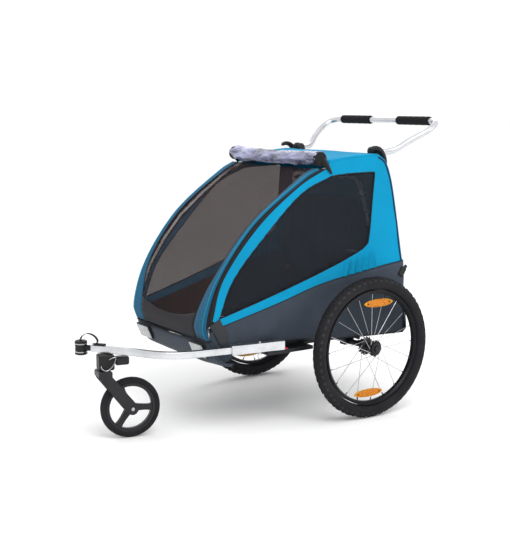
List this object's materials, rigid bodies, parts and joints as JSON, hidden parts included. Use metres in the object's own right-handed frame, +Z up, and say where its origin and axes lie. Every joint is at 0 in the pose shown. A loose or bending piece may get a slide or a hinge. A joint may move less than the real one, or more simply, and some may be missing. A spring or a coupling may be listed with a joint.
{
  "type": "child bicycle trailer",
  "caption": "Folding fabric-cabin child trailer on spoked wheels, with a push bar at the back and a tow arm that carries a swivelling front wheel.",
  "frame": {"origin": "on the ground below the middle of the bounding box", "axes": "+Z up, -Y the way it travels, +X the trailer's left, the side of the tow arm"},
  "size_m": [0.8, 1.3294, 1.0465],
  "materials": {
    "silver": "satin",
    "dark_frame": "matte",
    "black_plastic": "matte",
    "dark_plastic": "satin",
    "tyre": "matte",
    "foam": "matte",
    "blue_fabric": "woven",
    "slate_fabric": "woven",
    "mesh_fabric": "open mesh",
    "navy_fabric": "woven",
    "clear_cover": "gloss",
    "reflector_white": "gloss",
    "amber": "gloss",
    "webbing": "webbing"
  },
  "bodies": {
    "chassis": {"side_rail_left": "dark_frame", "side_rail_right": "dark_frame", "front_crossbar": "dark_frame", "rear_crossbar": "dark_frame", "floor_panel": "slate_fabric", "axle_tube": "dark_frame", "receiver_bracket": "dark_frame", "tow_receiver": "silver", "front_panel": "slate_fabric", "side_skirt_left": "slate_fabric", "side_skirt_right": "slate_fabric", "cargo_panel": "slate_fabric", "front_reflector_left": "reflector_white", "front_reflector_right": "reflector_white", "seat_base": "navy_fabric", "seat_back": "navy_fabric", "harness_left": "webbing", "harness_right": "webbing", "front_screen": "mesh_fabric", "roof_panel": "blue_fabric", "back_panel": "blue_fabric", "side_cover_left": "blue_fabric", "side_cover_right": "blue_fabric", "side_window_left": "mesh_fabric", "side_window_right": "mesh_fabric", "rain_cover_roll": "clear_cover"},
    "left_wheel": {"tyre_left": "tyre", "rim_left": "black_plastic", "hub_left": "black_plastic", "spokes_left": "silver", "wheel_reflector_upper_left": "amber", "wheel_reflector_lower_left": "amber"},
    "left_hub_button": {"hub_button_left": "dark_plastic"},
    "brake_pin_left": {"brake_pin_left": "silver"},
    "right_wheel": {"tyre_right": "tyre", "rim_right": "black_plastic", "hub_right": "black_plastic", "spokes_right": "silver", "wheel_reflector_upper_right": "amber", "wheel_reflector_lower_right": "amber"},
    "right_hub_button": {"hub_button_right": "dark_plastic"},
    "brake_pin_right": {"brake_pin_right": "silver"},
    "brake_pedal": {"brake_pedal": "black_plastic"},
    "front_hoop": {"front_hoop": "silver", "handle_mount_left": "black_plastic", "handle_mount_right": "black_plastic"},
    "rear_hoop": {"rear_hoop": "silver"},
    "push_bar": {"push_bar": "silver", "grip_left": "foam", "grip_right": "foam"},
    "arm_pin": {"arm_pin": "silver"},
    "tow_arm": {"tow_arm": "silver", "caster_bracket": "black_plastic", "hitch_strap": "webbing"},
    "caster_lever": {"caster_lever": "dark_plastic"},
    "wire_bail": {"wire_bail": "silver"},
    "hitch": {"hitch_coupling": "black_plastic"},
    "caster_fork": {"caster_fork": "dark_plastic"},
    "caster_wheel": {"caster_tyre": "tyre", "caster_rim": "dark_plastic"}
  },
  "joints": [
    {"name": "left_wheel_spin", "type": "hinge", "parent": "chassis", "child": "left_wheel", "pos_m": [0.3624, 0.29225, 0.25], "axis": [1, 0, 0], "continuous": true},
    {"name": "left_hub_button_push", "type": "slide", "parent": "left_wheel", "child": "left_hub_button", "axis": [-1, 0, 0], "range_m": [0, 0.004], "stiffness_N_per_m": 400},
    {"name": "brake_pin_left_slide", "type": "slide", "parent": "chassis", "child": "brake_pin_left", "axis": [1, 0, 0], "range_m": [0, 0.009]},
    {"name": "right_wheel_spin", "type": "hinge", "parent": "chassis", "child": "right_wheel", "pos_m": [-0.3624, 0.29225, 0.25], "axis": [1, 0, 0], "continuous": true},
    {"name": "right_hub_button_push", "type": "slide", "parent": "right_wheel", "child": "right_hub_button", "axis": [1, 0, 0], "range_m": [0, 0.004], "stiffness_N_per_m": 400},
    {"name": "brake_pin_right_slide", "type": "slide", "parent": "chassis", "child": "brake_pin_right", "axis": [-1, 0, 0], "range_m": [0, 0.009]},
    {"name": "brake_press", "type": "hinge", "parent": "chassis", "child": "brake_pedal", "pos_m": [0, 0.36725, 0.246], "axis": [-1, 0, 0], "range_deg": [0, 18]},
    {"name": "frame_fold", "type": "hinge", "parent": "chassis", "child": "front_hoop", "pos_m": [0, -0.27375, 0.29], "axis": [-1, 0, 0], "range_deg": [0, 40], "deforming": ["front_screen", "roof_panel", "back_panel", "cargo_panel", "side_cover_left", "side_cover_right", "side_window_left", "side_window_right", "rain_cover_roll", "seat_back", "harness_left", "harness_right"]},
    {"name": "rear_hoop_fold", "type": "hinge", "parent": "chassis", "child": "rear_hoop", "pos_m": [0, 0.48225, 0.3], "axis": [1, 0, 0], "range_deg": [0, 72]},
    {"name": "handle_tilt", "type": "hinge", "parent": "front_hoop", "child": "push_bar", "pos_m": [0, 0.40625, 0.925], "axis": [1, 0, 0], "range_deg": [-12, 125]},
    {"name": "tow_arm_slide", "type": "slide", "parent": "chassis", "child": "tow_arm", "axis": [-0.1322, -0.9912, 0], "range_m": [0, 0.1]},
    {"name": "arm_pin_pull", "type": "slide", "parent": "chassis", "child": "arm_pin", "axis": [0, 0, -1], "range_m": [0, 0.04]},
    {"name": "caster_lever_press", "type": "hinge", "parent": "tow_arm", "child": "caster_lever", "pos_m": [0.0866, -0.56485, 0.272], "axis": [-0.9789, 0.2045, 0], "range_deg": [0, 12]},
    {"name": "wire_bail_swing", "type": "hinge", "parent": "tow_arm", "child": "wire_bail", "pos_m": [0.1076, -0.60035, 0.274], "axis": [1, 0, 0], "range_deg": [0, 50]},
    {"name": "hitch_swing", "type": "hinge", "parent": "tow_arm", "child": "hitch", "pos_m": [0.017, -0.62775, 0.3005], "axis": [0, 0, 1], "range_deg": [-25, 25], "deforming": ["hitch_strap"]},
    {"name": "caster_swivel", "type": "hinge", "parent": "tow_arm", "child": "caster_fork", "pos_m": [0.0776, -0.60635, 0.22], "axis": [0, 0, 1], "continuous": true},
    {"name": "caster_spin", "type": "hinge", "parent": "caster_fork", "child": "caster_wheel", "pos_m": [0.096, -0.51825, 0.1015], "axis": [0.9789, -0.2045, 0], "continuous": true}
  ],
  "couplings": [
    {"joint": "rear_hoop_fold", "follows": "frame_fold", "ratio": 1.8},
    {"joint": "brake_pin_left_slide", "follows": "brake_press", "m_per_rad": 0.028616},
    {"joint": "brake_pin_right_slide", "follows": "brake_press", "m_per_rad": 0.028616}
  ]
}
